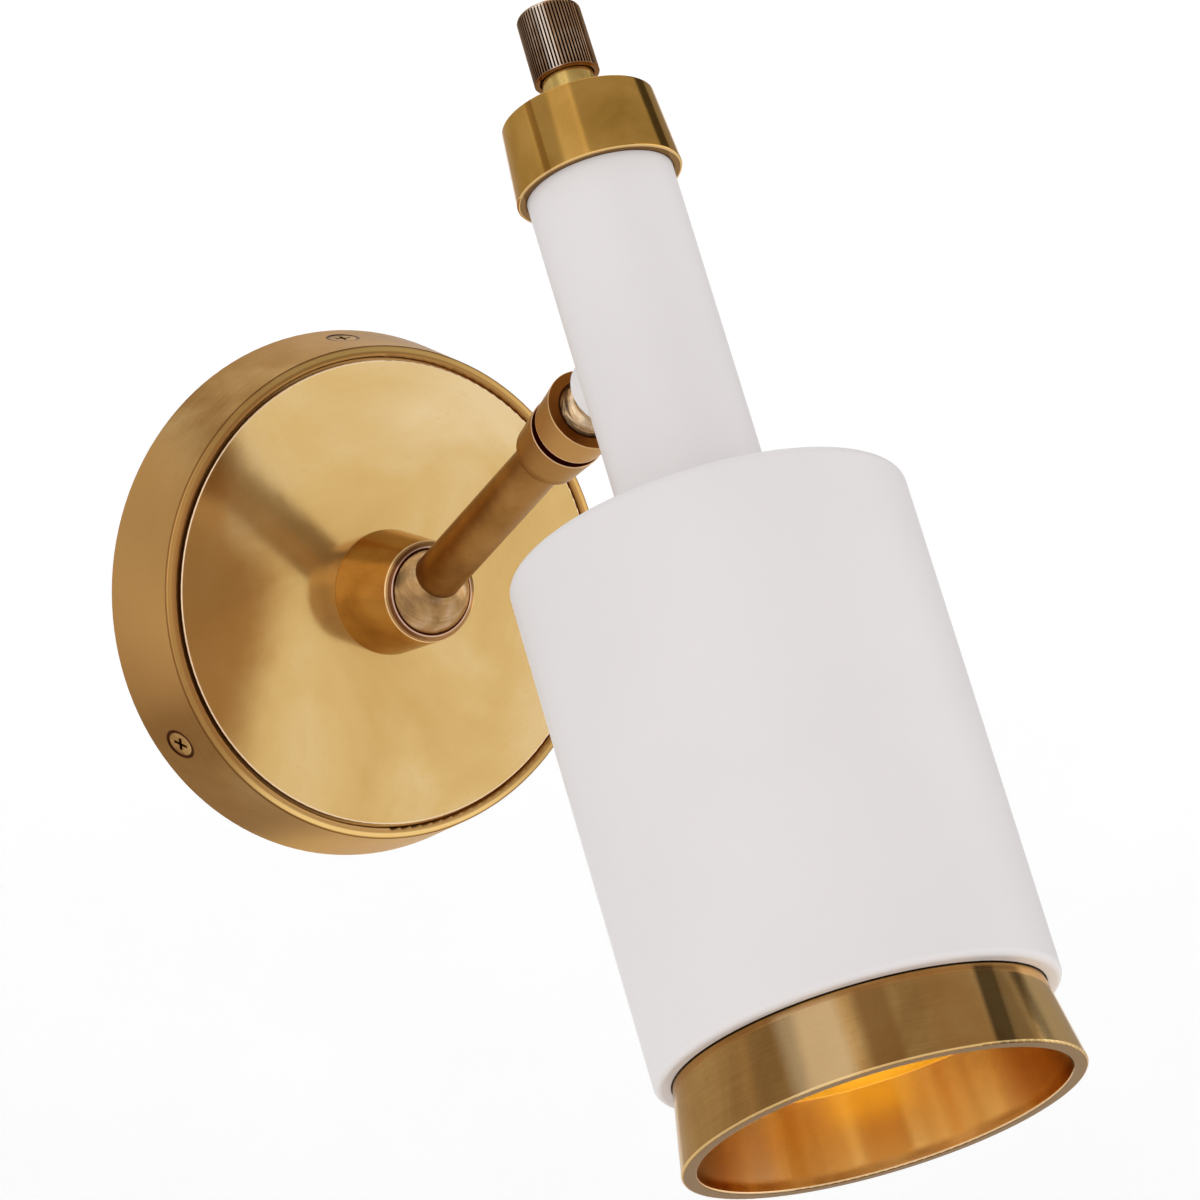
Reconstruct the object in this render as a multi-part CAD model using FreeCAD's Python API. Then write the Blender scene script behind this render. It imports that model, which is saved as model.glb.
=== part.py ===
import FreeCAD, Part
import math
import os

# Articulating wall light, in millimetres.
# The origin is the centre of the backplate on the wall, +Z is up and the light stands out towards -Y.
# The wall side is drawn on an axis out of the wall, the arm along its own axis from the wall ball,
# and the head along its own axis from the open mouth of the trim ring up to the knob.

V = FreeCAD.Vector

# Pose in the photograph
arm_swing_deg = -7.5
arm_tilt_deg = 25.0
head_turn_deg = -3.0

# Fits and clearances
slip_gap = 0.05
seat_gap = 0.08
pivot_gap = 0.1
overrun = 1.0
same_point = 1e-6

# Backplate drum
plate_back_radius = 60.3
plate_lip_radius = 55.9
plate_lip_depth = 19.1
lip_crest_depth = 20.1
lip_round = 0.2
lip_inner_round = 1.2
back_rim_round = 0.5
drum_wall = 2.0
drum_web = 1.6
face_plate_radius = 52.6
face_plate_thickness = 2.0
face_depth = 20.3
face_edge_round = 0.3
groove_gap = 0.6

# Side screws and the ears that they hold to
side_screw_count = 3
side_screw_first_deg = 96.0
side_screw_depth = 8.7
side_screw_length = 7.0
side_screw_radius = 1.75
side_screw_head_radius = 3.5
side_screw_sink = 0.15
cross_width = 0.8
cross_length = 3.6
cross_depth = 1.1

# Wall bracket
bracket_margin = 8.3
bracket_thickness = 1.6
bracket_wire_hole_radius = 15.0
ear_gap = 0.3
ear_thickness = 2.0
ear_depth = 14.0
ear_angle_deg = 14.0
ear_root = 4.0
slot_near_spacing = 69.85
slot_far_spacing = 88.9
slot_width = 4.8
ground_screw_reach = 31.0
ground_screw_radius = 2.0
ground_head_flats = 8.0
ground_head_height = 3.0

# Wall socket and its fixing
boss_mouth_wall = 1.25
boss_spread = 2.8
boss_length = 18.6
boss_nose_rise = 1.1
boss_nose_land = 0.3
boss_rim_round = 0.15
boss_base_round = 0.3
boss_lip_bevel = 0.15
wall_ball_radius = 10.2
wall_ball_set_back = 2.6
boss_bore_wall_gap = 0.15
plug_thickness = 3.0
stem_radius = 4.9
stem_bore_radius = 3.25
stem_length = 12.0
washer_radius = 9.0
washer_thickness = 1.0
lock_nut_flats = 15.0
lock_nut_height = 4.0
wall_spring_rise = 1.6
wall_spring_thickness = 0.6
wall_spring_width = 3.4
wall_seat_cover_share = 0.355
wall_seat_bore_radius = 4.2

# Arm
arm_radius = 5.5
arm_wall = 1.2
arm_socket_depth = 4.5
ball_lead_bore_radius = 3.2
joint_spacing = 88.2
cup_set_back = 18.9
cup_start_step = 2.0
cup_start_round = 1.3
cup_length = 11.0
cup_end_spread = 1.45
cup_edge_round = 0.15
cup_tube_overlap = 4.7
cup_floor_set_back = 10.2
cup_bore_inset = 1.1
spigot_set_back = 3.8
spigot_wall = 1.45
relief_wall = 0.85
nut_gap = 1.8
nut_back_spread = 1.3
nut_face_spread = 2.2
nut_edge_round = 0.15
nut_lip = 2.85
head_spring_rise = 0.95
head_spring_thickness = 0.4
head_spring_width = 2.0
head_seat_set_back = 4.6
head_seat_bore_radius = 3.3
lead_radius = 0.9
lead_pitch = 2.1
lead_wall_gap = 0.2
arm_lead_set_in = 6.0

# Head ball and neck
head_ball_radius = 7.1
neck_reach = 33.6
neck_height = 173.7
neck_stem_radius = 3.2
neck_stem_bore_radius = 2.3
neck_sleeve_radius = 8.0
neck_sleeve_reach = 22.3
neck_sleeve_round = 0.6
saddle_washer_radius = 6.5
saddle_washer_thickness_least = 0.48
stem_nut_flats = 10.0
stem_nut_height = 3.0
neck_stem_stub = 0.7

# Trim ring at the mouth of the shade
ring_mouth_inset = 0.25
ring_taper = 3.25
ring_rim_width = 3.3
ring_wall = 2.2
ring_edge_round = 0.45
ring_height = 17.7
ring_shadow_gap = 0.1
ring_shadow_depth = 1.0
ring_tail = 5.5

# Shade
shade_radius = 42.35
shade_lift = 0.5
shade_rim_height = 4.5
shade_rim_round = 0.2
shade_top = 129.0
shade_wall = 1.6
shade_top_round = 1.8
shade_bottom_round = 1.5
shade_inner_round = 0.8

# Upper tube
tube_radius = 15.9
tube_wall = 1.2

# Bushing between shade and tube
bushing_flange_radius = 20.0
bushing_flange_height = 3.0
bushing_spigot_height = 9.0
bushing_bore_radius = 10.5

# Lampholder and its bracket
holder_bar_length = 36.0
holder_bar_width = 14.0
holder_bar_thickness = 2.0
holder_bar_screw_reach = 14.2
bar_screw_radius = 1.5
bar_screw_head_radius = 2.7
bar_screw_head_height = 1.6
bar_screw_length = 4.4
stud_radius = 4.9
stud_bore_radius = 3.2
stud_rise = 3.8
stud_sink = 2.4
stud_nut_flats = 14.0
stud_nut_height = 3.0
holder_cap_height = 5.4
holder_cap_radius = 13.6
holder_cap_round = 1.5
holder_radius = 17.0
holder_wall = 2.3
holder_length = 29.0
holder_roof = 3.0
holder_edge_round = 0.8
shell_wall = 0.4
shell_roof_gap = 2.0
shell_mouth_gap = 2.0
contact_radius = 4.0
contact_height = 1.3

# Bulb
bulb_cap_radius = 13.0
bulb_cap_length = 23.0
bulb_thread_count = 5
bulb_thread_depth = 0.7
bulb_tip_radius = 4.6
bulb_tip_height = 2.0
bulb_globe_radius = 24.0
bulb_globe_length = 78.0
bulb_neck_radius = 12.4

# Top cap
cap_rise = 36.8
cap_height = 17.6
cap_bottom_radius = 18.05
cap_top_radius = 16.65
cap_top_round = 0.4
cap_bottom_round = 0.4
cap_roof = 2.5
cap_shoulder_width = 1.4
cap_shoulder_height = 3.1

# Dimmer, its collar nut and the knob
dimmer_gap = 1.7
dimmer_height = 25.0
dimmer_round = 0.8
barrel_radius = 4.9
barrel_rise = 8.2
collar_radius = 5.7
collar_height = 8.95
collar_round = 0.3
shaft_radius = 3.0
shaft_start_depth = 13.0
knob_overlap = 0.6
knob_radius = 7.15
knob_top_radius = 7.0
knob_length = 16.2
knob_top_round = 1.6
knob_lip_height = 0.3
knob_lip_round = 0.15
knob_recess_gap = 0.3
knob_recess_depth = 2.4
knob_roof = 3.4
flute_count = 60
flute_depth = 0.45
flute_land_share = 0.42
flute_floor_share = 0.26
knob_screw_radius = 1.25
knob_screw_height = 7.0
knob_screw_sink = 0.8
knob_screw_socket_radius = 0.65

# Leads inside the head
lead_drop_reach = 7.0
lead_bend_start = 42.0
lead_bend_end = 12.0
lead_bend_radius = 5.0

# Depths and heights that follow from the sizes above
recess_floor = face_depth - face_plate_thickness
web_back = recess_floor - drum_web
recess_radius = face_plate_radius + groove_gap
stem_hole_radius = stem_radius + pivot_gap
drum_slope = (plate_back_radius - plate_lip_radius) / plate_lip_depth
bracket_radius = plate_back_radius - drum_wall - bracket_margin
boss_mouth_radius = wall_ball_radius + boss_mouth_wall
boss_base_radius = boss_mouth_radius + boss_spread
boss_mouth_depth = face_depth + boss_length
boss_nose_depth = boss_mouth_depth + boss_nose_rise
wall_ball_depth = boss_mouth_depth - wall_ball_set_back
boss_bore_radius = wall_ball_radius + boss_bore_wall_gap
plug_front = face_depth + plug_thickness
wall_seat_back = plug_front + wall_spring_rise + slip_gap
cup_start = joint_spacing - cup_set_back
cup_end = cup_start + cup_length
cup_floor = joint_spacing - cup_floor_set_back
spigot_end = joint_spacing - spigot_set_back
head_seat_end = joint_spacing - head_seat_set_back
cup_start_radius = arm_radius + cup_start_step
cup_end_radius = head_ball_radius + cup_end_spread
cup_bore_radius = head_ball_radius - cup_bore_inset
spigot_radius = cup_bore_radius + spigot_wall
relief_radius = cup_bore_radius + relief_wall
nut_back_radius = head_ball_radius + nut_back_spread
nut_face_radius = head_ball_radius + nut_face_spread
ring_mouth_radius = shade_radius - ring_mouth_inset
ring_neck_radius = ring_mouth_radius - ring_taper
shade_bottom = ring_height + shade_lift
shade_rim_bore = ring_neck_radius + ring_shadow_gap
shade_rim_top = shade_bottom + shade_rim_height
shade_inner_radius = shade_radius - shade_wall
tube_bore_radius = tube_radius - tube_wall
cap_bottom = neck_height + cap_rise
cap_top = cap_bottom + cap_height
cap_roof_height = cap_top - cap_roof
tube_top = cap_roof_height - cap_shoulder_height
dimmer_radius = tube_bore_radius - dimmer_gap
saddle_washer_span = math.sqrt(tube_bore_radius ** 2 - saddle_washer_radius ** 2)
saddle_washer_face = saddle_washer_span - saddle_washer_thickness_least
neck_stem_end = saddle_washer_face - stem_nut_height - neck_stem_stub
shade_roof_height = shade_top - shade_wall
flange_bottom = shade_roof_height - bushing_flange_height
bar_bottom = flange_bottom - holder_bar_thickness
holder_cap_bottom = bar_bottom - holder_cap_height
holder_bottom = holder_cap_bottom - holder_length
bulb_cap_top = holder_cap_bottom - holder_roof - contact_height - bulb_tip_height
bulb_cap_bottom = bulb_cap_top - bulb_cap_length
collar_top = cap_top + collar_height
knob_bottom = collar_top - knob_overlap
knob_top = knob_bottom + knob_length


# Shapes shared by many pieces

def corner_arc(before, corner, after, radius):
    """Start, middle and end of the arc that rounds a corner, no larger than its two legs allow."""
    leg_in = before.sub(corner)
    leg_out = after.sub(corner)
    opening = leg_in.getAngle(leg_out)
    half_legs = min(leg_in.Length, leg_out.Length) / 2
    reach = min(radius / math.tan(opening / 2), half_legs)
    true_radius = reach * math.tan(opening / 2)
    unit_in = leg_in.normalize()
    unit_out = leg_out.normalize()
    start = corner + unit_in * reach
    end = corner + unit_out * reach
    inward = (unit_in + unit_out).normalize()
    middle = corner + inward * (true_radius / math.sin(opening / 2) - true_radius)
    return start, middle, end


def rounded_wire(corners, closed=True):
    """Lines through (point, corner radius) pairs, with the corners rounded by arcs."""
    count = len(corners)
    stops = []
    for index, (point, radius) in enumerate(corners):
        inner = closed or 0 < index < count - 1
        if radius > 0 and inner:
            before = corners[index - 1][0]
            after = corners[(index + 1) % count][0]
            stops.append(corner_arc(before, point, after, radius))
        else:
            stops.append((point, None, point))
    edges = []
    for index, (start, middle, end) in enumerate(stops):
        if closed or index > 0:
            previous = stops[index - 1][2]
            if previous.distanceToPoint(start) > same_point:
                edges.append(Part.LineSegment(previous, start).toShape())
        if middle is not None:
            edges.append(Part.Arc(start, middle, end).toShape())
    return Part.Wire(Part.__sortEdges__(edges))


def outline_face(outline):
    """Face in the XZ plane from (radius, height) or (radius, height, corner radius) entries."""
    corners = [(V(entry[0], 0, entry[1]), entry[2] if len(entry) > 2 else 0) for entry in outline]
    return Part.Face(rounded_wire(corners))


def turned(outline):
    """Solid of revolution about Z."""
    return outline_face(outline).revolve(V(0, 0, 0), V(0, 0, 1), 360)


def rod(radius, start, end):
    return Part.makeCylinder(radius, end - start, V(0, 0, start))


def pipe(outer, inner, start, end):
    return turned([(inner, start), (outer, start), (outer, end), (inner, end)])


def globe(radius, height):
    return Part.makeSphere(radius, V(0, 0, height))


def hexagon(flats, start, end):
    corner_radius = flats / math.sqrt(3)
    corners = [V(corner_radius * math.cos(math.radians(60 * i)),
                 corner_radius * math.sin(math.radians(60 * i)), start) for i in range(7)]
    return Part.Face(Part.makePolygon(corners)).extrude(V(0, 0, end - start))


def hex_nut(flats, bore, start, end):
    chamfer = turned([(0, start), (flats / 2, start), (flats / math.sqrt(3), start + flats / 16),
                      (flats / math.sqrt(3), end - flats / 16), (flats / 2, end), (0, end)])
    return hexagon(flats, start, end).common(chamfer).cut(rod(bore, start - overrun, end + overrun))


def cone_washer(inner, width, start, rise, thickness):
    outer = inner + width
    return turned([(inner, start), (outer, start + rise - thickness),
                   (outer, start + rise), (inner, start + thickness)])


def lead_pair(route):
    """Two insulated wires side by side along a route of (y, z, bend radius) points."""
    wires = []
    for side in (-1, 1):
        x = side * lead_pitch / 2
        corners = [(V(x, y, z), radius) for y, z, radius in route]
        path = rounded_wire(corners, closed=False)
        along = corners[1][0].sub(corners[0][0])
        section = Part.Wire(Part.makeCircle(lead_radius, corners[0][0], along))
        wires.append(path.makePipeShell([section], True, False))
    return Part.makeCompound(wires)


def facing(origin, direction):
    """Placement that carries +Z onto a direction, at an origin."""
    return FreeCAD.Placement(origin, FreeCAD.Rotation(V(0, 0, 1), direction))


def moved(shape, placement):
    return shape.transformed(placement.toMatrix(), copy=True)


# Frames of the three sub-assemblies

swing = FreeCAD.Rotation(V(0, 1, 0), arm_swing_deg)
wall_frame = FreeCAD.Placement(V(0, 0, 0), FreeCAD.Rotation(V(1, 0, 0), 90))
arm_rotation = swing * FreeCAD.Rotation(V(1, 0, 0), 90 - arm_tilt_deg)
arm_frame = FreeCAD.Placement(V(0, -wall_ball_depth, 0), arm_rotation)
arm_direction = arm_rotation.multVec(V(0, 0, 1))
head_ball_centre = arm_frame.multVec(V(0, 0, joint_spacing))
head_turn = FreeCAD.Rotation(arm_direction, head_turn_deg)
head_rotation = head_turn * swing * FreeCAD.Rotation(V(1, 0, 0), -arm_tilt_deg)
head_origin = head_ball_centre - head_rotation.multVec(V(0, neck_reach, neck_height))
head_frame = FreeCAD.Placement(head_origin, head_rotation)


# Backplate

def drum_radius(depth):
    return plate_back_radius - drum_slope * depth


def drum_bore(depth):
    return drum_radius(depth) - drum_wall


def side_screw_places():
    """Each screw's placement on the drum's sloping side, its +Z out along the side's normal."""
    lean = math.atan(drum_slope)
    places = []
    for number in range(side_screw_count):
        angle = math.radians(side_screw_first_deg + number * 360 / side_screw_count)
        radius = drum_radius(side_screw_depth)
        seat = V(radius * math.cos(angle), radius * math.sin(angle), side_screw_depth)
        normal = V(math.cos(angle) * math.cos(lean), math.sin(angle) * math.cos(lean), math.sin(lean))
        places.append(facing(seat, normal))
    return places


def screw_blank(gap):
    """Countersunk screw about Z with its head's rim at zero, grown all round by a gap."""
    head = side_screw_head_radius + gap
    shank = side_screw_radius + gap
    return turned([(0, -side_screw_length - gap), (shank, -side_screw_length - gap),
                   (shank, -side_screw_head_radius + side_screw_radius - side_screw_sink),
                   (head, -side_screw_sink), (head, gap), (0, gap)])


def side_screw():
    body = screw_blank(0).cut(rod(side_screw_head_radius + overrun, -side_screw_sink, overrun))
    for length, width in ((cross_length, cross_width), (cross_width, cross_length)):
        corner = V(-length / 2, -width / 2, -side_screw_sink - cross_depth)
        body = body.cut(Part.makeBox(length, width, cross_depth + overrun, corner))
    return body


def backplate_drum():
    shell = turned([(plate_back_radius, 0, back_rim_round),
                    (plate_lip_radius, plate_lip_depth, lip_round),
                    (recess_radius, lip_crest_depth, lip_inner_round),
                    (recess_radius, recess_floor),
                    (stem_hole_radius, recess_floor),
                    (stem_hole_radius, web_back),
                    (drum_bore(web_back), web_back),
                    (drum_bore(0), 0)])
    for place in side_screw_places():
        shell = shell.cut(moved(screw_blank(pivot_gap), place))
    return shell


def face_plate():
    return turned([(stem_hole_radius, recess_floor), (face_plate_radius, recess_floor),
                   (face_plate_radius, face_depth, face_edge_round), (stem_hole_radius, face_depth)])


def side_screws():
    return Part.makeCompound([moved(side_screw(), place) for place in side_screw_places()])


def bracket_slots():
    """Two slots across the plate, for junction box screws between the near and far spacing."""
    slots = []
    for side in (-1, 1):
        near = V(side * slot_near_spacing / 2, 0, -overrun)
        far = V(side * slot_far_spacing / 2, 0, -overrun)
        through = bracket_thickness + 2 * overrun
        slots.append(Part.makeCylinder(slot_width / 2, through, near))
        slots.append(Part.makeCylinder(slot_width / 2, through, far))
        length = (slot_far_spacing - slot_near_spacing) / 2
        corner = V(min(near.x, far.x), -slot_width / 2, -overrun)
        slots.append(Part.makeBox(length, slot_width, through, corner))
    return slots


def bracket_ear():
    """Sector that runs out from the plate and forward along the inside of the drum."""
    outer_back = drum_bore(0) - ear_gap
    outer_front = drum_bore(ear_depth) - ear_gap
    inner_front = outer_front - ear_thickness
    inner_back = outer_back - ear_thickness
    section = outline_face([(bracket_radius - ear_root, 0), (outer_back, 0), (outer_front, ear_depth),
                            (inner_front, ear_depth), (inner_back, bracket_thickness),
                            (bracket_radius - ear_root, bracket_thickness)])
    ear = section.revolve(V(0, 0, 0), V(0, 0, 1), ear_angle_deg)
    ear.rotate(V(0, 0, 0), V(0, 0, 1), -ear_angle_deg / 2)
    return ear


def wall_bracket():
    plate = pipe(bracket_radius, bracket_wire_hole_radius, 0, bracket_thickness)
    for number in range(side_screw_count):
        ear = bracket_ear()
        ear.rotate(V(0, 0, 0), V(0, 0, 1), side_screw_first_deg + number * 360 / side_screw_count)
        plate = plate.fuse(ear)
    for slot in bracket_slots():
        plate = plate.cut(slot)
    hole = rod(ground_screw_radius + slip_gap, -overrun, bracket_thickness + overrun)
    plate = plate.cut(moved(hole, facing(V(0, -ground_screw_reach, 0), V(0, 0, 1))))
    for place in side_screw_places():
        thread = rod(side_screw_radius + slip_gap, -side_screw_length - overrun, 0)
        plate = plate.cut(moved(thread, place))
    return plate.removeSplitter()


def ground_screw():
    head = hexagon(ground_head_flats, bracket_thickness, bracket_thickness + ground_head_height)
    shank = rod(ground_screw_radius, ear_gap, bracket_thickness + overrun)
    return moved(head.fuse(shank).removeSplitter(), facing(V(0, -ground_screw_reach, 0), V(0, 0, 1)))


# Wall socket

def socket_boss():
    """Tapered sleeve with a bevelled nose, whose lip keeps the ball in."""
    cavity_radius = wall_ball_radius + seat_gap
    lip_reach = boss_nose_depth - wall_ball_depth
    lip_radius = math.sqrt(cavity_radius ** 2 - lip_reach ** 2)
    nose_radius = lip_radius + boss_lip_bevel + boss_nose_land
    boss = turned([(0, face_depth), (boss_base_radius, face_depth, boss_base_round),
                   (boss_mouth_radius, boss_mouth_depth, boss_rim_round),
                   (nose_radius, boss_nose_depth, boss_rim_round), (0, boss_nose_depth)])
    bevel = turned([(0, boss_nose_depth - boss_lip_bevel), (lip_radius, boss_nose_depth - boss_lip_bevel),
                    (lip_radius + boss_lip_bevel, boss_nose_depth), (0, boss_nose_depth)])
    boss = boss.cut(rod(boss_bore_radius, face_depth - overrun, wall_ball_depth))
    boss = boss.cut(globe(cavity_radius, wall_ball_depth))
    return boss.cut(bevel)


def socket_plug():
    bore = rod(stem_bore_radius, 0, plug_front + overrun)
    disc = rod(boss_bore_radius - slip_gap, face_depth, plug_front)
    stem = rod(stem_radius, face_depth - stem_length, plug_front)
    return disc.fuse(stem).cut(bore).removeSplitter()


def lock_washer():
    return pipe(washer_radius, stem_radius + slip_gap, web_back - washer_thickness, web_back)


def lock_nut():
    top = web_back - washer_thickness
    return hex_nut(lock_nut_flats, stem_radius + slip_gap, top - lock_nut_height, top)


def wall_spring():
    return cone_washer(stem_radius, wall_spring_width, plug_front, wall_spring_rise, wall_spring_thickness)


def wall_seat():
    """Friction ring that turns in the bore and cups the back of the ball."""
    front = wall_ball_depth - wall_ball_radius * wall_seat_cover_share
    ring = pipe(boss_bore_radius - pivot_gap, wall_seat_bore_radius, wall_seat_back, front)
    return ring.cut(globe(wall_ball_radius + seat_gap, wall_ball_depth))


# Arm, along Z from the wall ball's centre

def wall_ball():
    body = globe(wall_ball_radius, 0)
    body = body.cut(rod(arm_radius + slip_gap, arm_socket_depth, wall_ball_radius + overrun))
    return body.cut(rod(ball_lead_bore_radius, -wall_ball_radius - overrun, wall_ball_radius))


def arm_tube():
    return pipe(arm_radius, arm_radius - arm_wall, arm_socket_depth, cup_start + cup_tube_overlap)


def arm_cup():
    tube_end = cup_start + cup_tube_overlap
    socket = arm_radius + slip_gap
    cup = turned([(socket, cup_start), (cup_start_radius, cup_start, cup_start_round),
                  (cup_end_radius, cup_end, cup_edge_round), (relief_radius, cup_end),
                  (relief_radius, cup_end + nut_gap), (spigot_radius, cup_end + nut_gap),
                  (spigot_radius, spigot_end), (cup_bore_radius, spigot_end),
                  (cup_bore_radius, cup_floor), (arm_radius - arm_wall, cup_floor),
                  (arm_radius - arm_wall, tube_end), (socket, tube_end)])
    return cup.cut(globe(head_ball_radius + pivot_gap, joint_spacing))


def cup_ring_nut():
    back = cup_end + nut_gap
    face = joint_spacing + nut_lip
    cavity = head_ball_radius + seat_gap
    thread = spigot_radius + slip_gap
    neck = cavity + pivot_gap
    nut = turned([(0, back), (nut_back_radius, back, nut_edge_round),
                  (nut_face_radius, face, nut_edge_round), (0, face)])
    nut = nut.cut(rod(thread, back - overrun, spigot_end + pivot_gap))
    nut = nut.cut(rod(neck, back, joint_spacing))
    return nut.cut(globe(cavity, joint_spacing))


def head_spring():
    inner = cup_bore_radius - pivot_gap - head_spring_width
    return cone_washer(inner, head_spring_width, cup_floor, head_spring_rise, head_spring_thickness)


def head_seat():
    back = cup_floor + head_spring_rise + slip_gap
    ring = pipe(cup_bore_radius - pivot_gap, head_seat_bore_radius, back, head_seat_end)
    return ring.cut(globe(head_ball_radius + seat_gap, joint_spacing))


def arm_leads():
    bore = arm_radius - arm_wall
    reach = bore - lead_wall_gap - lead_radius
    drop = math.sqrt(reach ** 2 - (lead_pitch / 2) ** 2)
    end = cup_start + cup_tube_overlap
    return lead_pair([(-drop, arm_lead_set_in, 0), (-drop, end, 0)])


# Head, along Z from the trim ring's mouth, with the neck on the +Y side

def neck_piece(shape):
    """Carry a piece drawn along Z onto the neck's axis, where Z is the reach from the tube's axis."""
    return moved(shape, facing(V(0, 0, neck_height), V(0, 1, 0)))


def head_ball():
    body = globe(head_ball_radius, neck_reach)
    body = body.fuse(rod(neck_stem_radius, neck_stem_end, neck_reach))
    bore = rod(neck_stem_bore_radius, neck_stem_end - overrun, neck_reach + head_ball_radius + overrun)
    return neck_piece(body.cut(bore))


def neck_sleeve():
    sleeve = turned([(neck_stem_radius + slip_gap, 0), (neck_sleeve_radius, 0),
                     (neck_sleeve_radius, neck_sleeve_reach, neck_sleeve_round),
                     (neck_stem_radius + slip_gap, neck_sleeve_reach)])
    return neck_piece(sleeve).cut(rod(tube_radius, 0, tube_top))


def saddle_washer():
    blank = pipe(saddle_washer_radius, neck_stem_radius + slip_gap, saddle_washer_face, tube_radius)
    return neck_piece(blank).common(rod(tube_bore_radius, 0, tube_top))


def stem_nut():
    start = saddle_washer_face - stem_nut_height
    return neck_piece(hex_nut(stem_nut_flats, neck_stem_radius + slip_gap, start, saddle_washer_face))


def upper_tube():
    tube = pipe(tube_radius, tube_bore_radius, shade_top, tube_top)
    return tube.cut(neck_piece(rod(neck_stem_radius + pivot_gap, 0, tube_radius + overrun)))


def trim_ring():
    """Flared ring whose spigot screws up into the bore of the shade's rim."""
    shoulder = shade_bottom + ring_shadow_depth
    spigot = shade_rim_bore - slip_gap
    inner = ring_neck_radius - ring_wall
    tail_top = shade_rim_top + ring_tail
    return turned([(ring_mouth_radius - ring_rim_width, 0, ring_edge_round),
                   (ring_mouth_radius, 0, ring_edge_round),
                   (ring_neck_radius, ring_height), (ring_neck_radius, shoulder),
                   (spigot, shoulder), (spigot, tail_top), (inner, tail_top), (inner, ring_height)])


def shade():
    """Cup with a flat top and, at the bottom, a thick rim turned inwards."""
    hole = tube_bore_radius
    return turned([(shade_rim_bore, shade_bottom, shade_rim_round),
                   (shade_radius, shade_bottom, shade_bottom_round),
                   (shade_radius, shade_top, shade_top_round), (hole, shade_top),
                   (hole, shade_roof_height), (shade_inner_radius, shade_roof_height, shade_inner_round),
                   (shade_inner_radius, shade_rim_top, shade_inner_round),
                   (shade_rim_bore, shade_rim_top, shade_rim_round)])


def shade_bushing():
    spigot = tube_bore_radius - slip_gap
    top = shade_top + bushing_spigot_height
    bushing = turned([(bushing_bore_radius, flange_bottom), (bushing_flange_radius, flange_bottom),
                      (bushing_flange_radius, shade_roof_height), (spigot, shade_roof_height),
                      (spigot, top), (bushing_bore_radius, top)])
    for side in (-1, 1):
        thread = Part.makeCylinder(bar_screw_radius + slip_gap, bushing_flange_height + overrun,
                                   V(side * holder_bar_screw_reach, 0, flange_bottom - overrun))
        bushing = bushing.cut(thread)
    return bushing


# Lampholder

def holder_bracket():
    corner = V(-holder_bar_length / 2, -holder_bar_width / 2, bar_bottom)
    bar = Part.makeBox(holder_bar_length, holder_bar_width, holder_bar_thickness, corner)
    bar = bar.cut(rod(stud_radius + slip_gap, bar_bottom - overrun, flange_bottom + overrun))
    for side in (-1, 1):
        hole = Part.makeCylinder(bar_screw_radius + slip_gap, holder_bar_thickness + 2 * overrun,
                                 V(side * holder_bar_screw_reach, 0, bar_bottom - overrun))
        bar = bar.cut(hole)
    return bar


def bracket_screws():
    screws = []
    for side in (-1, 1):
        foot = V(side * holder_bar_screw_reach, 0, bar_bottom)
        head = Part.makeCylinder(bar_screw_head_radius, bar_screw_head_height, foot, V(0, 0, -1))
        shank = Part.makeCylinder(bar_screw_radius, bar_screw_length, foot)
        screws.append(head.fuse(shank).removeSplitter())
    return Part.makeCompound(screws)


def lampholder_stud():
    return pipe(stud_radius, stud_bore_radius, bar_bottom - stud_sink, flange_bottom + stud_rise)


def stud_nut():
    return hex_nut(stud_nut_flats, stud_radius + slip_gap, flange_bottom, flange_bottom + stud_nut_height)


def lampholder_cap():
    cap = turned([(stud_bore_radius, holder_cap_bottom), (holder_radius, holder_cap_bottom),
                  (holder_cap_radius, bar_bottom, holder_cap_round), (stud_bore_radius, bar_bottom)])
    for side in (-1, 1):
        pocket = Part.makeCylinder(bar_screw_head_radius + pivot_gap, bar_screw_head_height + pivot_gap,
                                   V(side * holder_bar_screw_reach, 0, bar_bottom), V(0, 0, -1))
        cap = cap.cut(pocket)
    return cap.cut(rod(stud_radius + slip_gap, bar_bottom - stud_sink, bar_bottom + overrun))


def lampholder_body():
    bore = holder_radius - holder_wall
    roof = holder_cap_bottom - holder_roof
    return turned([(bore, holder_bottom, holder_edge_round),
                   (holder_radius, holder_bottom, holder_edge_round),
                   (holder_radius, holder_cap_bottom), (stud_bore_radius, holder_cap_bottom),
                   (stud_bore_radius, roof), (bore, roof)])


def screw_shell():
    outer = holder_radius - holder_wall - slip_gap
    return pipe(outer, outer - shell_wall, holder_bottom + shell_mouth_gap,
                holder_cap_bottom - holder_roof - shell_roof_gap)


def centre_contact():
    roof = holder_cap_bottom - holder_roof
    return rod(contact_radius, roof - contact_height, roof)


def bulb_base():
    """Screw cap of the bulb, with its thread as rounded ribs, and the contact at its tip."""
    pitch = bulb_cap_length / (bulb_thread_count + 1)
    outline = [(0, bulb_cap_bottom), (bulb_cap_radius - bulb_thread_depth, bulb_cap_bottom)]
    for rib in range(bulb_thread_count):
        crest = bulb_cap_bottom + (rib + 1) * pitch
        outline.append((bulb_cap_radius - bulb_thread_depth, crest - pitch / 2, pitch / 4))
        outline.append((bulb_cap_radius, crest, pitch / 4))
    outline.append((bulb_cap_radius - bulb_thread_depth, bulb_cap_top - pitch / 2, pitch / 4))
    outline.append((bulb_tip_radius, bulb_cap_top))
    outline.append((bulb_tip_radius, bulb_cap_top + bulb_tip_height, bulb_tip_height / 2))
    outline.append((0, bulb_cap_top + bulb_tip_height))
    return turned(outline)


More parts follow.
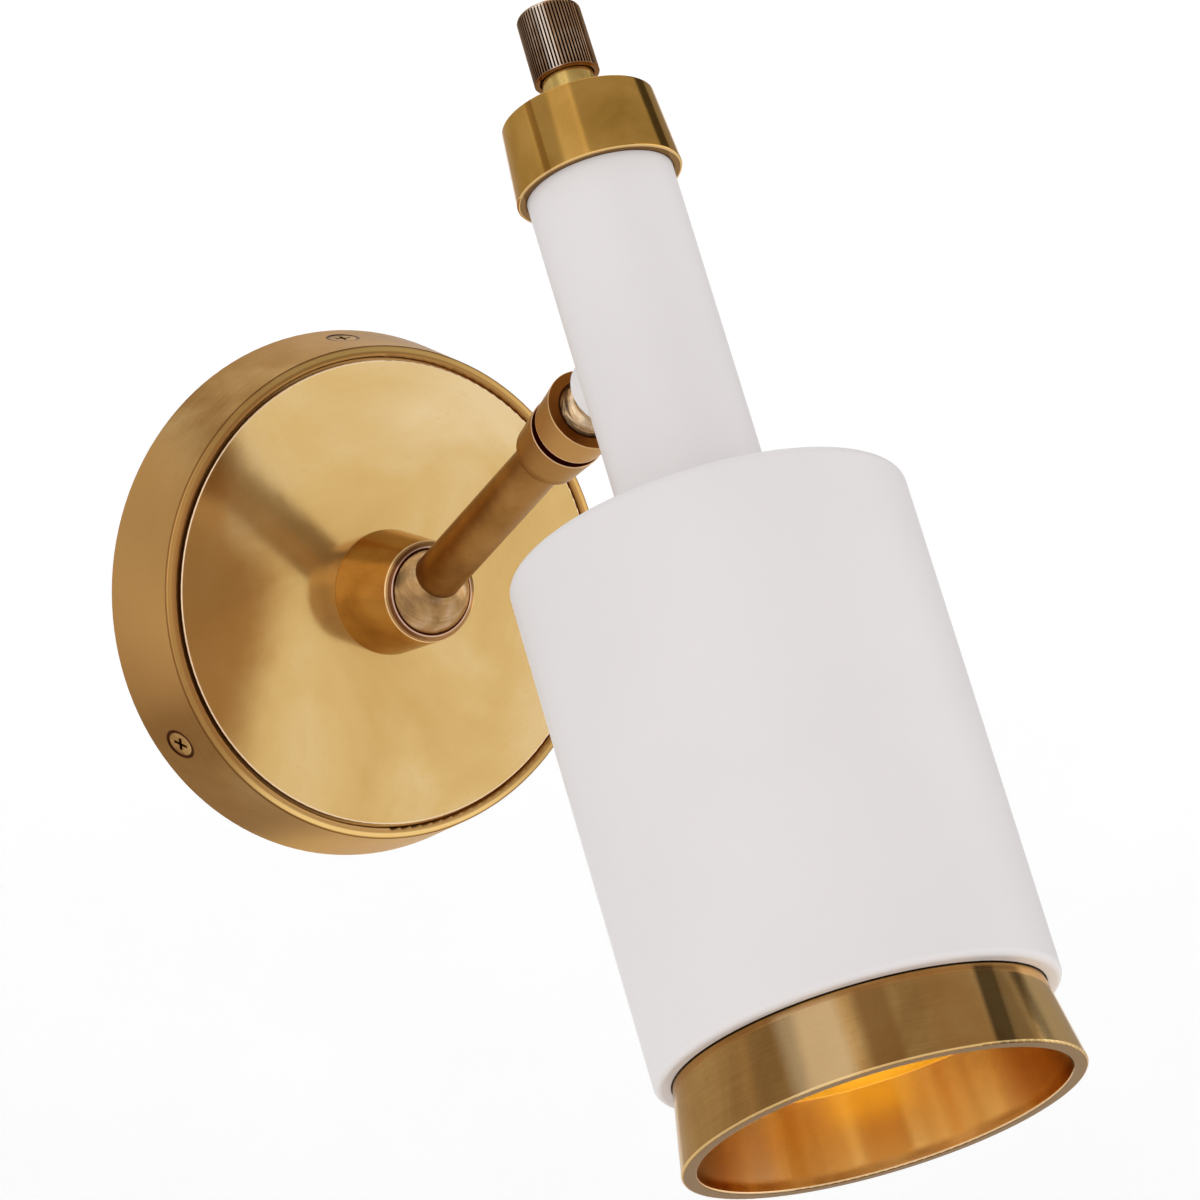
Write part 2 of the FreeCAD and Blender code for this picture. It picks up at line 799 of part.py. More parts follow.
def bulb_globe():
    centre = bulb_cap_bottom - bulb_globe_length + bulb_cap_length + bulb_globe_radius
    rise = bulb_cap_bottom - centre
    spread = math.atan2(bulb_neck_radius, rise)
    tangent = math.acos(min(1, bulb_globe_radius / math.hypot(bulb_neck_radius, rise))) + spread
    touch_radius = bulb_globe_radius * math.sin(tangent)
    touch_height = centre + bulb_globe_radius * math.cos(tangent)
    neck = turned([(0, touch_height), (touch_radius, touch_height),
                   (bulb_neck_radius, bulb_cap_bottom), (0, bulb_cap_bottom)])
    return globe(bulb_globe_radius, centre).fuse(neck).removeSplitter()


# Cap, dimmer and knob

def top_cap():
    bore = tube_radius + slip_gap
    return turned([(bore, cap_bottom), (cap_bottom_radius, cap_bottom, cap_bottom_round),
                   (cap_top_radius, cap_top, cap_top_round), (barrel_radius + slip_gap, cap_top),
                   (barrel_radius + slip_gap, cap_roof_height),
                   (bore - cap_shoulder_width, cap_roof_height),
                   (bore - cap_shoulder_width, tube_top), (bore, tube_top)])


def dimmer_body():
    bottom = cap_roof_height - dimmer_height
    barrel_top = cap_top + barrel_rise
    body = turned([(0, bottom), (dimmer_radius, bottom, dimmer_round),
                   (dimmer_radius, cap_roof_height, dimmer_round), (barrel_radius, cap_roof_height),
                   (barrel_radius, barrel_top), (0, barrel_top)])
    start = cap_roof_height - shaft_start_depth
    return body.cut(rod(shaft_radius + slip_gap, start - slip_gap, barrel_top + overrun))


def collar_nut():
    bore = barrel_radius + slip_gap
    return turned([(bore, cap_top), (collar_radius, cap_top),
                   (collar_radius, collar_top, collar_round), (bore, collar_top)])


def dimmer_shaft():
    return rod(shaft_radius, cap_roof_height - shaft_start_depth, knob_top - knob_roof)


def fluted_blank(start, end):
    """Column whose side is cut all round with flutes that narrow to a flat floor."""
    pitch = 2 * math.pi / flute_count
    floor_radius = knob_radius - flute_depth
    corners = []
    for flute in range(flute_count):
        land = flute * pitch
        hollow = land + pitch / 2
        for angle, radius in ((land - pitch * flute_land_share / 2, knob_radius),
                              (land + pitch * flute_land_share / 2, knob_radius),
                              (hollow - pitch * flute_floor_share / 2, floor_radius),
                              (hollow + pitch * flute_floor_share / 2, floor_radius)):
            corners.append(V(radius * math.cos(angle), radius * math.sin(angle), start))
    corners.append(corners[0])
    return Part.Face(Part.makePolygon(corners)).extrude(V(0, 0, end - start))


def knob():
    lip_top = knob_bottom + knob_lip_height
    limit = turned([(0, lip_top), (knob_radius, lip_top),
                    (knob_top_radius, knob_top, knob_top_round), (0, knob_top)])
    grip = fluted_blank(lip_top, knob_top).common(limit)
    lip = turned([(0, knob_bottom), (knob_radius, knob_bottom, knob_lip_round),
                  (knob_radius, lip_top), (0, lip_top)])
    body = grip.fuse(lip)
    collar_clearance = collar_radius + knob_recess_gap
    body = body.cut(rod(collar_clearance, knob_bottom - overrun, knob_bottom + knob_recess_depth))
    body = body.cut(rod(shaft_radius + slip_gap, knob_bottom, knob_top - knob_roof))
    screw_hole = rod(knob_screw_radius + slip_gap, 0, knob_radius + overrun)
    return body.cut(moved(screw_hole, knob_screw_place()))


def knob_screw_place():
    return facing(V(0, 0, knob_bottom + knob_screw_height), V(0, 1, 0))


def knob_screw():
    end = knob_radius - knob_screw_sink
    screw = rod(knob_screw_radius, shaft_radius + slip_gap, end)
    socket = rod(knob_screw_socket_radius, end - knob_screw_radius, end + overrun)
    return moved(screw.cut(socket), knob_screw_place())


# Leads inside the head

def holder_leads():
    """From the dimmer down past the stem's nut and through the bushing into the lampholder's stud."""
    top = cap_roof_height - dimmer_height
    return lead_pair([(-lead_drop_reach, top, 0),
                      (-lead_drop_reach, shade_top + lead_bend_start, lead_bend_radius),
                      (0, shade_top + lead_bend_end, lead_bend_radius),
                      (0, holder_cap_bottom - holder_roof, 0)])


def neck_leads():
    """From the neck's stem up to the dimmer."""
    top = cap_roof_height - dimmer_height
    inner = neck_stem_end - lead_bend_radius
    return lead_pair([(neck_reach, neck_height, 0), (inner, neck_height, lead_bend_radius),
                      (inner, top, 0)])


WALL_NODES = {
    "wall_bracket": wall_bracket,
    "ground_screw": ground_screw,
    "backplate_drum": backplate_drum,
    "face_plate": face_plate,
    "side_screws": side_screws,
    "socket_boss": socket_boss,
    "socket_plug": socket_plug,
    "lock_washer": lock_washer,
    "lock_nut": lock_nut,
    "wall_spring": wall_spring,
    "wall_seat": wall_seat,
}
ARM_NODES = {
    "wall_ball": wall_ball,
    "arm_tube": arm_tube,
    "arm_cup": arm_cup,
    "cup_ring_nut": cup_ring_nut,
    "head_spring": head_spring,
    "arm_leads": arm_leads,
    "head_seat": head_seat,
}
HEAD_NODES = {
    "head_ball": head_ball,
    "neck_sleeve": neck_sleeve,
    "saddle_washer": saddle_washer,
    "stem_nut": stem_nut,
    "upper_tube": upper_tube,
    "shade": shade,
    "shade_bushing": shade_bushing,
    "trim_ring": trim_ring,
    "top_cap": top_cap,
    "dimmer_body": dimmer_body,
    "collar_nut": collar_nut,
    "holder_bracket": holder_bracket,
    "bracket_screws": bracket_screws,
    "lampholder_stud": lampholder_stud,
    "stud_nut": stud_nut,
    "lampholder_cap": lampholder_cap,
    "lampholder_body": lampholder_body,
    "screw_shell": screw_shell,
    "centre_contact": centre_contact,
    "holder_leads": holder_leads,
    "neck_leads": neck_leads,
    "bulb_base": bulb_base,
    "bulb_globe": bulb_globe,
    "dimmer_shaft": dimmer_shaft,
    "knob": knob,
    "knob_screw": knob_screw,
}


def write_parts():
    os.makedirs("parts", exist_ok=True)
    for nodes, frame in ((WALL_NODES, wall_frame), (ARM_NODES, arm_frame), (HEAD_NODES, head_frame)):
        for name, make in nodes.items():
            shape = moved(make(), frame)
            shape.exportStep(f"parts/{name}.step")
            print(f"{name:16s} solids {len(shape.Solids)} valid {shape.isValid()} volume {shape.Volume:.1f}")


write_parts()
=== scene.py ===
import math
from collections import namedtuple

import bpy
from mathutils import Euler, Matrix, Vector

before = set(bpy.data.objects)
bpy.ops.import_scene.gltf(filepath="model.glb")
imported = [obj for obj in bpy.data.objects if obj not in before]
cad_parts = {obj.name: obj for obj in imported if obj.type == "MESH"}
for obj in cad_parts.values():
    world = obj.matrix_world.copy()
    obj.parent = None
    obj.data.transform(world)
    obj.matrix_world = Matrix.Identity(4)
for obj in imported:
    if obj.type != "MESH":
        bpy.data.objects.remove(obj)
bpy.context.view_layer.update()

# Every piece of the wall light is a CAD node. This script gives each its material, and adds the floor,
# the light and the camera.

# Frames of the wall side, the arm and the head, with z along each one's axis: metres and degrees
Place = namedtuple("Place", "origin turn")
WALL = Place((0.0, 0.0, 0.0), (90.0, 0.0, 0.0))
ARM = Place((0.0, -0.0363, 0.0), (65.0, -7.5, 0.0))
HEAD = Place((0.0047882, -0.2199965, -0.1060170), (-24.8639, -4.7795, -1.2718))

# The side screws' heads in the wall's frame, in metres
SIDE_SCREWS = (
    (-0.00609, 0.05790, 0.00868),
    (-0.04710, -0.03422, 0.00868),
    (0.05319, -0.02368, 0.00868),
)

# The knob's lands in the head's frame, in metres: heights of its two ends, and the radius at each
KNOB_ENDS = (0.23645, 0.25265)
KNOB_RADII = (0.00715, 0.00700)

# Parts of x and y in the direction that is to the right when the head is seen from the front
RIGHT_X = 0.866
RIGHT_Y = 0.5

# The camera as fitted to the photograph: millimetres, metres and degrees
LENS = 180.0
SENSOR_WIDTH = 36.0
CAMERA_PLACE = (-0.63805, -1.22031, -0.00856)
CAMERA_AZIMUTH = -30.0
CAMERA_ELEVATION = -0.285
CLIP_RANGE = (0.05, 50.0)

# Indices of a Mix node's two colour or number inputs and of its result
MIX_SOCKETS = {"RGBA": (6, 7, 2), "FLOAT": (2, 3, 0)}

# A point of a piece: its place in the frame, its distance from the axis, and the patina's clouds there
Spot = namedtuple("Spot", "x y z radius clouds")

# A tinted ring on a turned piece: radii, heights and soft edge in millimetres, colour, share
Mark = namedtuple("Mark", "inner outer low high soft colour share")

# A painted reflection as a streak along the head's axis: side, two edges and their softness in
# millimetres, colour, share
Streak = namedtuple("Streak", "side left right soft colour share")

# A part of the room: direction, degrees from it to the edge of its core and to its outer edge, brightness
Zone = namedtuple("Zone", "direction core reach level")


class Nodes:
    """Short calls that add nodes to one tree."""

    def __init__(self, tree):
        self.tree = tree

    def node(self, kind, inputs=(), **settings):
        """A node with its settings and its inputs, which are given by name or index."""
        made = self.tree.nodes.new(kind)
        for key, value in settings.items():
            setattr(made, key, value)
        for key, value in dict(inputs).items():
            self.feed(made.inputs[key], value)
        return made

    def feed(self, socket, value):
        """Link another node's output to an input, or set the input."""
        if isinstance(value, bpy.types.NodeSocket):
            self.tree.links.new(value, socket)
        else:
            socket.default_value = value

    def math(self, operation, *values):
        """One step of arithmetic."""
        return self.node("ShaderNodeMath", enumerate(values), operation=operation).outputs[0]

    def plus(self, a, b):
        """The sum of two values."""
        return self.math("ADD", a, b)

    def minus(self, a, b):
        """The difference of two values."""
        return self.math("SUBTRACT", a, b)

    def times(self, a, b):
        """The product of two values."""
        return self.math("MULTIPLY", a, b)

    def varied(self, base, pattern, extra):
        """A base value, and a pattern's part of an extra on top."""
        return self.plus(base, self.times(pattern, extra))

    def slope(self, value, low, high, at_low=0.0, at_high=1.0, curve="SMOOTHSTEP"):
        """One result up to a low value, another from a high value, and a curve or line between."""
        inputs = {"Value": value, "From Min": low, "From Max": high, "To Min": at_low, "To Max": at_high}
        return self.node("ShaderNodeMapRange", inputs, interpolation_type=curve).outputs[0]

    def rise(self, value, low, high, share=1.0):
        """Nothing up to a low length and a share from a high one, both in millimetres."""
        return self.slope(value, low / 1000, high / 1000, 0.0, share)

    def fall(self, value, low, high, share=1.0):
        """A share up to a low length and nothing from a high one, both in millimetres."""
        return self.slope(value, low / 1000, high / 1000, share, 0.0)

    def within(self, value, low, high, soft):
        """One between two lengths in millimetres, fading to nothing over a soft edge."""
        low, high, soft = low / 1000, high / 1000, soft / 1000
        start = self.slope(value, low - soft, low)
        return self.times(start, self.slope(value, high, high + soft, 1.0, 0.0))

    def noise(self, vector, scale, detail=3.0, rough=0.5, distortion=0.0):
        """Cloudy noise of 0 to 1, with a scale of cells to each unit of the vector."""
        inputs = {"Vector": vector, "Scale": scale, "Detail": detail, "Roughness": rough,
                  "Distortion": distortion}
        return self.node("ShaderNodeTexNoise", inputs).outputs["Fac"]

    def mix(self, factor, a, b, kind="RGBA"):
        """A blend of two colours or numbers."""
        first, second, result = MIX_SOCKETS[kind]
        inputs = {0: factor, first: a, second: b}
        return self.node("ShaderNodeMix", inputs, data_type=kind).outputs[result]

    def ramp(self, factor, stops):
        """Colours along a factor of 0 to 1, from pairs of place and colour."""
        stops = list(stops)
        made = self.node("ShaderNodeValToRGB", {"Fac": factor})
        elements = made.color_ramp.elements
        while len(elements) < len(stops):
            elements.new(0.5)
        for element, (position, colour) in zip(elements, stops):
            element.position = position
            element.color = colour
        return made.outputs["Color"]

    def split(self, vector):
        """The three parts of a vector."""
        return self.node("ShaderNodeSeparateXYZ", {"Vector": vector}).outputs[:3]

    def join(self, x, y, z):
        """A vector of three parts."""
        return self.node("ShaderNodeCombineXYZ", {"X": x, "Y": y, "Z": z}).outputs[0]

    def stretched(self, parts, scales):
        """A vector of three parts, each times its own scale."""
        return self.join(*(self.times(part, scale) for part, scale in zip(parts, scales)))

    def vector(self, operation, a, b):
        """A number from two vectors, such as their distance."""
        return self.node("ShaderNodeVectorMath", {0: a, 1: b}, operation=operation).outputs["Value"]


class Finish(Nodes):
    """The nodes of one new material."""

    def __init__(self, name):
        self.material = bpy.data.materials.new(name)
        self.material.use_nodes = True
        super().__init__(self.material.node_tree)
        self.shader = next(node for node in self.tree.nodes if node.type == "BSDF_PRINCIPLED")

    def local(self, place):
        """Object coordinates in one of the three frames, in metres."""
        coordinates = self.node("ShaderNodeTexCoord").outputs["Object"]
        turn = [math.radians(angle) for angle in place.turn]
        inputs = {"Vector": coordinates, "Location": place.origin, "Rotation": turn}
        return self.node("ShaderNodeMapping", inputs, vector_type="TEXTURE").outputs[0]

    def bump(self, pattern, depth, normal=None):
        """A normal from a pattern of 0 to 1 that is a depth in metres, over another normal."""
        made = self.node("ShaderNodeBump", {"Height": pattern, "Distance": depth, "Strength": 1.0})
        if normal is not None:
            self.feed(made.inputs["Normal"], normal)
        return made.outputs["Normal"]

    def finish(self, **inputs):
        """Set the shader's inputs, named with underscores for spaces, and return the material."""
        for key, value in inputs.items():
            self.feed(self.shader.inputs[key.replace("_", " ")], value)
        return self.material


def tone(red, green, blue):
    """An sRGB colour of 0 to 255 as linear values."""
    def linear(value):
        value = value / 255
        return value / 12.92 if value <= 0.04045 else ((value + 0.055) / 1.055) ** 2.4
    return (linear(red), linear(green), linear(blue), 1.0)


def brass(name, place, dark, mid, pale, rough, brush=0.5, cloud=28.0, grain=1.0, metal=1.0,
          shift=None, tints=None, marks=(), inner=None):
    """Aged brass, turned about its frame's axis: clouds of patina, fine brush lines, specks and pits.

    Brush is the strength of the lines, cloud the scale of the clouds and grain the depth of the pits.
    Shift, a function of the spot, makes the tone paler. Tints, another, gives tones and painted light and
    shade, and marks lie over those. Inner is a radius in metres and how much rougher the brass is inside
    it.
    """
    brush_scales = (60.0, 60.0, 5200.0)
    line_share = 0.25 * brush
    tone_places = (0.30, 0.50, 0.72)
    speck_range = (0.62, 0.78)
    speck_share = 0.3
    rough_base = rough - 0.07
    rough_clouds = 0.10
    rough_lines = 0.06 * brush
    inner_soft = 0.0003
    line_depth = 0.000003 * brush
    pit_depth = 0.000015 * grain

    n = Finish(name)
    local = n.local(place)
    x, y, z = n.split(local)
    radius = n.math("SQRT", n.plus(n.times(x, x), n.times(y, y)))
    lines = n.noise(n.stretched((x, y, n.plus(z, radius)), brush_scales), scale=1.0, rough=0.6)
    clouds = n.noise(local, cloud, detail=5.0, rough=0.55, distortion=0.6)
    specks = n.noise(local, scale=900.0, detail=2.0)
    spot = Spot(x, y, z, radius, clouds)

    factor = n.plus(n.times(clouds, 1.0 - line_share), n.times(lines, line_share))
    if shift is not None:
        factor = n.plus(factor, shift(n, spot))
    colour = n.ramp(factor, zip(tone_places, (dark, mid, pale)))
    colour = n.mix(n.slope(specks, *speck_range, 0.0, speck_share), colour, dark)
    for mask, tint in (tints(n, spot) if tints else ()):
        colour = n.mix(mask, colour, tint)
    for mark in marks:
        mask = n.within(radius, mark.inner, mark.outer, mark.soft)
        mask = n.times(mask, n.within(z, mark.low, mark.high, mark.soft))
        colour = n.mix(n.times(mask, mark.share), colour, mark.colour)

    roughness = n.varied(n.varied(rough_base, clouds, rough_clouds), lines, rough_lines)
    if inner is not None:
        edge, extra = inner
        roughness = n.plus(roughness, n.slope(radius, edge, edge + inner_soft, extra, 0.0))
    normal = n.bump(lines, line_depth)
    normal = n.bump(n.noise(local, scale=260.0), pit_depth, normal)
    return n.finish(Base_Color=colour, Metallic=metal, Roughness=roughness, Normal=normal,
                    Specular_Tint=tone(241, 228, 209))


def paint(name, place, colour, shade):
    """Satin paint with a faint orange peel and fine dust."""
    n = Finish(name)
    local = n.local(place)
    clouds = n.noise(local, scale=14.0)
    peel = n.noise(local, scale=750.0, detail=2.0)
    dust = n.noise(local, scale=2600.0, detail=1.0)
    normal = n.bump(peel, depth=0.000012)
    normal = n.bump(dust, depth=0.000003, normal=normal)
    return n.finish(Base_Color=n.mix(n.slope(clouds, 0.3, 0.7), colour, shade),
                    Roughness=n.varied(base=0.40, pattern=clouds, extra=0.08), Normal=normal)


def plain_metal(name, place, colour, dark, rough):
    """Zinc plated or plain steel: faint mottling and fine scratches."""
    n = Finish(name)
    local = n.local(place)
    mottle = n.noise(local, scale=120.0, detail=4.0, rough=0.6)
    scratch_map = n.node("ShaderNodeMapping", {"Vector": local, "Scale": (900.0, 60.0, 300.0)})
    scratch = n.noise(scratch_map.outputs[0], scale=1.0, detail=2.0)
    return n.finish(Base_Color=n.mix(n.slope(mottle, 0.35, 0.65), dark, colour), Metallic=1.0,
                    Roughness=n.varied(rough, pattern=scratch, extra=0.15),
                    Normal=n.bump(scratch, depth=0.000005))


def moulded(name, place, colour, shade, rough):
    """Moulded plastic, insulation or green paint, with a fine grain."""
    n = Finish(name)
    local = n.local(place)
    grain = n.noise(local, scale=1500.0)
    clouds = n.noise(local, scale=60.0)
    return n.finish(Base_Color=n.mix(n.slope(clouds, 0.35, 0.65), colour, shade),
                    Roughness=n.varied(rough, pattern=grain, extra=0.1),
                    Normal=n.bump(grain, depth=0.00001))


def lit_glass(name, place):
    """Frosted bulb glass, lit warm from inside and whiter towards the mouth of the shade."""
    n = Finish(name)
    local = n.local(place)
    height = n.split(local)[2]
    frost = n.noise(local, scale=1400.0, detail=2.0)
    glow = n.mix(n.slope(height, 0.030, 0.090, 1.0, 0.55), tone(255, 212, 124), tone(255, 230, 172))
    return n.finish(Base_Color=tone(240, 232, 220), Roughness=0.45, Emission_Color=glow,
                    Emission_Strength=9.5, Normal=n.bump(frost, depth=0.00001))


def dress(material, *names):
    """Give nodes of the frame a material."""
    for name in names:
        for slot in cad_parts[name].material_slots:
            slot.material = material


# Patina, and painted light and shade, that differ from place to place

def plate_painted_sheen(n, spot):
    """A painted sheen: a little paler towards the plate's upper right."""
    return n.rise(n.plus(spot.x, spot.y), -10, 60, 0.06)


def plate_painted_reflection_and_shade(n, spot):
    """A brown painted reflection at the plate's left, widest at its middle, and painted shade on the side
    wall there.
    """
    slant = 0.30
    waver = 0.030
    lean = n.plus(spot.x, n.times(n.math("ABSOLUTE", spot.y), slant))
    border = n.plus(lean, n.times(n.minus(spot.clouds, 0.5), waver))
    # a brown painted reflection at the plate's left
    painted_reflection = n.fall(border, -40, -23, 0.75)
    # painted shade on the plate's side wall, darkest at the left
    side_wall = n.times(n.within(spot.radius, 52.5, 53.0, 0.05), n.within(spot.z, 15.0, 19.95, 0.05))
    return [(painted_reflection, tone(158, 102, 36)),
            (n.times(side_wall, n.fall(spot.x, 0, 20, 0.9)), tone(66, 34, 16))]


def screw_ring_shade(n, spot):
    """Each side screw sits in a dark ring of painted shade, in the gap round its head."""
    made = []
    for place in SIDE_SCREWS:
        apart = n.vector("DISTANCE", n.join(spot.x, spot.y, spot.z), place)
        # a ring of painted shade round each screw head
        made.append((n.within(apart, 3.1, 3.85, 0.12), tone(66, 28, 10)))
    return made


def rim_painted_reflections_and_shade(n, spot):
    """Parts of the rim paler and browner and a golden lip brightest below, all painted reflections, and
    painted shade round the screws.
    """
    slant = 1.1
    level = n.times(n.rise(spot.y, -36, -20), n.fall(spot.y, 30, 50))
    left = n.times(n.fall(spot.x, -54, -44, 0.85), level)
    low_left = n.fall(n.plus(spot.x, n.times(spot.y, slant)), -85, -55, 0.6)
    low_edge = n.times(n.fall(spot.y, -58, -47, 0.75), n.rise(spot.x, -30, -10))
    top = n.rise(spot.y, 46, 56, 0.4)
    lip = n.within(spot.z, 19.3, 21.0, 0.1)
    lip_left = n.times(lip, n.fall(spot.x, -50, -22, 0.6))
    lip_low = n.times(lip, n.fall(spot.y, -52, -36, 0.85))
    # painted reflections on the rim and its lip
    made = [(left, tone(206, 156, 92)),
            (low_left, tone(118, 78, 38)),
            (low_edge, tone(216, 166, 86)),
            (top, tone(150, 108, 60)),
            (n.times(lip, 0.85), tone(202, 164, 96)),
            (lip_left, tone(138, 90, 44)),
            (lip_low, tone(255, 214, 140))]
    return made + screw_ring_shade(n, spot)


def boss_painted_reflections(n, spot):
    """Painted reflections: the bevel round the boss's mouth is brown, and darker at its left."""
    height = n.within(spot.z, 38.9, 41.0, 0.1)
    bevel = n.times(n.within(spot.radius, 9.0, 11.2, 0.1), height)
    inner = n.times(n.within(spot.radius, 9.0, 10.8, 0.15), height)
    inner_left = n.times(inner, n.fall(spot.x, -6, 3, 0.85))
    return [(n.times(bevel, 0.75), tone(146, 100, 56)),
            (inner_left, tone(96, 50, 26))]


def ball_streaks(share):
    """Dark and pale streaks round a ball, about the arm's axis, at a share of their full strength."""
    scales = (90.0, 90.0, 900.0)

    def tints(n, spot):
        place = n.stretched((spot.x, spot.y, spot.z), scales)
        bands = n.noise(place, scale=1.0, detail=4.0, distortion=0.8)
        dark = n.slope(bands, 0.47, 0.54, 0.0, 0.8 * share)
        pale = n.slope(bands, 0.34, 0.44, 0.6 * share, 0.0)
        return [(dark, tone(62, 36, 18)),
                (pale, tone(246, 222, 188))]
    return tints


def across(n, spot):
    """Distance to the right of the head's axis, seen from the front, in metres."""
    return n.minus(n.times(spot.x, RIGHT_X), n.times(spot.y, RIGHT_Y))


# Painted reflections as streaks on the ring, inside at the back and outside at the front, from left to
# right
RING_PAINTED_REFLECTIONS = [
    Streak("back", -40.0, -27.0, 7.0, tone(226, 206, 176), 0.85),      # pale end
    Streak("back", -16.0, -9.0, 4.0, tone(196, 146, 76), 0.6),         # brown beside the glow
    Streak("back", 29.0, 42.0, 5.0, tone(180, 132, 80), 0.8),          # brown end
    Streak("front", -14.5, -5.5, 3.5, tone(238, 206, 156), 0.55),      # bright
    Streak("front", 1.0, 5.0, 2.5, tone(150, 98, 48), 0.6),            # brown
    Streak("front", 15.0, 22.0, 4.0, tone(176, 122, 62), 0.5),         # brown
    Streak("front", 24.6, 27.4, 1.3, tone(54, 40, 20), 0.82),          # dark
    Streak("front", 28.4, 32.0, 0.9, tone(118, 88, 50), 0.62),         # half dark
    Streak("front", 34.0, 42.0, 1.6, tone(255, 214, 150), 0.8),        # bright end
]


def ring_painted_light(n, spot):
    """Painted light on the ring: a paler inside for the bulb's light, painted reflections paler and
    browner by turns inside, a painted glow of the bulb at its back and painted reflections as streaks
    along it.
    """
    stretch = 2.6
    around = n.math("ARCTAN2", spot.y, spot.x)
    circle = n.join(n.times(n.math("COSINE", around), stretch), n.math("SINE", around), 0.0)
    bands = n.noise(circle, scale=1.6, detail=2.0)
    inside = n.times(n.fall(spot.radius, 38.4, 38.6), n.within(spot.z, 0.45, 17.6, 0.1))
    pale = n.times(inside, n.slope(bands, 0.42, 0.54, 0.8, 0.0))
    brown = n.times(inside, n.slope(bands, 0.52, 0.60, 0.0, 0.6))
    # a paler inside that stands in for the bulb's light, then painted reflections that make it paler and
    # browner by turns
    made = [(inside, tone(206, 162, 92)),
            (pale, tone(236, 200, 130)),
            (brown, tone(196, 140, 66))]
    sides = {"back": n.times(inside, n.rise(spot.y, -10, 0)),
             "front": n.times(n.rise(spot.radius, 38.8, 39.0), n.fall(spot.y, -10, 6))}
    place = across(n, spot)
    for streak in RING_PAINTED_REFLECTIONS:
        band = n.times(n.within(place, streak.left, streak.right, streak.soft), streak.share)
        made.append((n.times(sides[streak.side], band), streak.colour))
    # a painted glow of the bulb, inside at the back
    glow = n.times(n.within(place, -5.0, 4.0, 8.0), n.within(spot.z, 15.0, 18.0, 7.0))
    return made + [(n.times(sides["back"], n.times(glow, 0.5)), tone(250, 204, 60))]


def cap_painted_reflection(n, spot):
    """A painted reflection: a thin brown streak down the cap's left side."""
    front = n.times(n.fall(spot.y, -4, 4), 0.8)
    streak = n.times(front, n.within(across(n, spot), -10.3, -9.4, 0.5))
    return [(streak, tone(160, 108, 42))]


def knob_painted_light(n, spot):
    """Painted shade in the flutes, which follow the knob's taper, and painted reflections on the lands:
    brown at the sides, a painted highlight between.
    """
    land = n.slope(spot.z, *KNOB_ENDS, *KNOB_RADII, curve="LINEAR")
    sunk = n.minus(land, spot.radius)
    place = across(n, spot)
    # painted reflections on the lands: darker at the left, browner at the right
    left = n.fall(place, -6.4, -3.0, 0.8)
    right = n.rise(place, 3.6, 6.2, 0.5)
    # a painted highlight on the lands
    bright = n.times(n.within(place, -2.6, -1.2, 1.1), n.fall(spot.y, -2, 2, 0.7))
    # painted shade in the flutes
    flutes = n.times(n.rise(sunk, 0.02, 0.06, 0.98), n.within(spot.z, 236.8, 251.2, 0.1))
    return [(left, tone(92, 62, 44)),
            (right, tone(150, 110, 74)),
            (bright, tone(255, 236, 218)),
            (flutes, tone(18, 9, 5))]


# Marks round the brass pieces: tones, painted highlights and painted shade

PLATE_MARKS = [
    Mark(52.3, 53.0, 20.08, 21.0, 0.08, tone(255, 226, 190), 0.8),     # painted highlight on the front edge
]
RIM_MARKS = [
    Mark(55.7, 56.2, 18.9, 19.2, 0.08, tone(104, 62, 26), 0.7),        # dark line at the foot of the lip
    Mark(53.3, 54.4, 18.8, 21.0, 0.35, tone(146, 96, 50), 0.65),       # brown inner half of the lip
    Mark(53.0, 53.35, 15.0, 21.0, 0.2, tone(180, 128, 70), 0.8),       # the lip's inner edge
]
BOSS_MARKS = [
    Mark(11.3, 11.6, 38.7, 39.1, 0.1, tone(240, 200, 150), 0.7),       # painted highlight on the outer edge of the bevel
    Mark(9.0, 9.88, 38.0, 41.0, 0.08, tone(96, 50, 26), 0.95),         # painted shade at the edge next to the ball
    Mark(9.95, 10.15, 39.5, 41.0, 0.1, tone(226, 190, 170), 0.7),      # painted highlight in a line round that
]
ARM_MARKS = [
    Mark(7.5, 9.6, 82.3, 90.8, 0.2, tone(188, 140, 82), 0.9),          # the ring nut's paler side
    Mark(7.5, 9.6, 72.5, 80.0, 1.5, tone(166, 120, 66), 0.8),          # the cup's paler side
    Mark(5.0, 8.38, 80.2, 82.05, 0.05, tone(128, 56, 24), 0.97),       # painted shade, dark red, in the groove between the two
    Mark(8.35, 8.8, 80.1, 80.4, 0.08, tone(240, 200, 160), 0.8),       # painted highlight on the edge of the cup
    Mark(8.2, 8.6, 82.05, 82.4, 0.08, tone(240, 200, 160), 0.8),       # painted highlight on the back edge of the ring nut
    Mark(6.0, 9.05, 90.95, 91.2, 0.06, tone(138, 80, 28), 0.9),        # the ring nut's brown face
    Mark(9.2, 9.6, 90.85, 91.2, 0.05, tone(246, 206, 150), 0.7),       # painted highlight on its outer edge
    Mark(6.0, 6.85, 90.0, 91.2, 0.1, tone(60, 30, 12), 0.9),           # painted shade at its edge next to the ball
]
RING_MARKS = [
    Mark(35.5, 37.2, 17.8, 30.0, 0.1, tone(122, 94, 22), 0.95),        # inside of the neck, darkened as painted shade
    Mark(38.0, 39.5, 17.9, 30.0, 0.15, tone(30, 22, 12), 0.97),        # painted shadow on the neck under the lamp shade
    Mark(41.8, 42.4, -0.2, 0.45, 0.1, tone(246, 214, 150), 0.45),      # painted highlight on the outer edge of the mouth
    Mark(38.9, 41.6, -0.2, 0.1, 0.1, tone(100, 64, 26), 0.95),         # brown face of the mouth
    Mark(38.4, 38.9, -0.2, 0.45, 0.1, tone(246, 214, 170), 0.7),       # painted highlight on the inner edge of the mouth
]
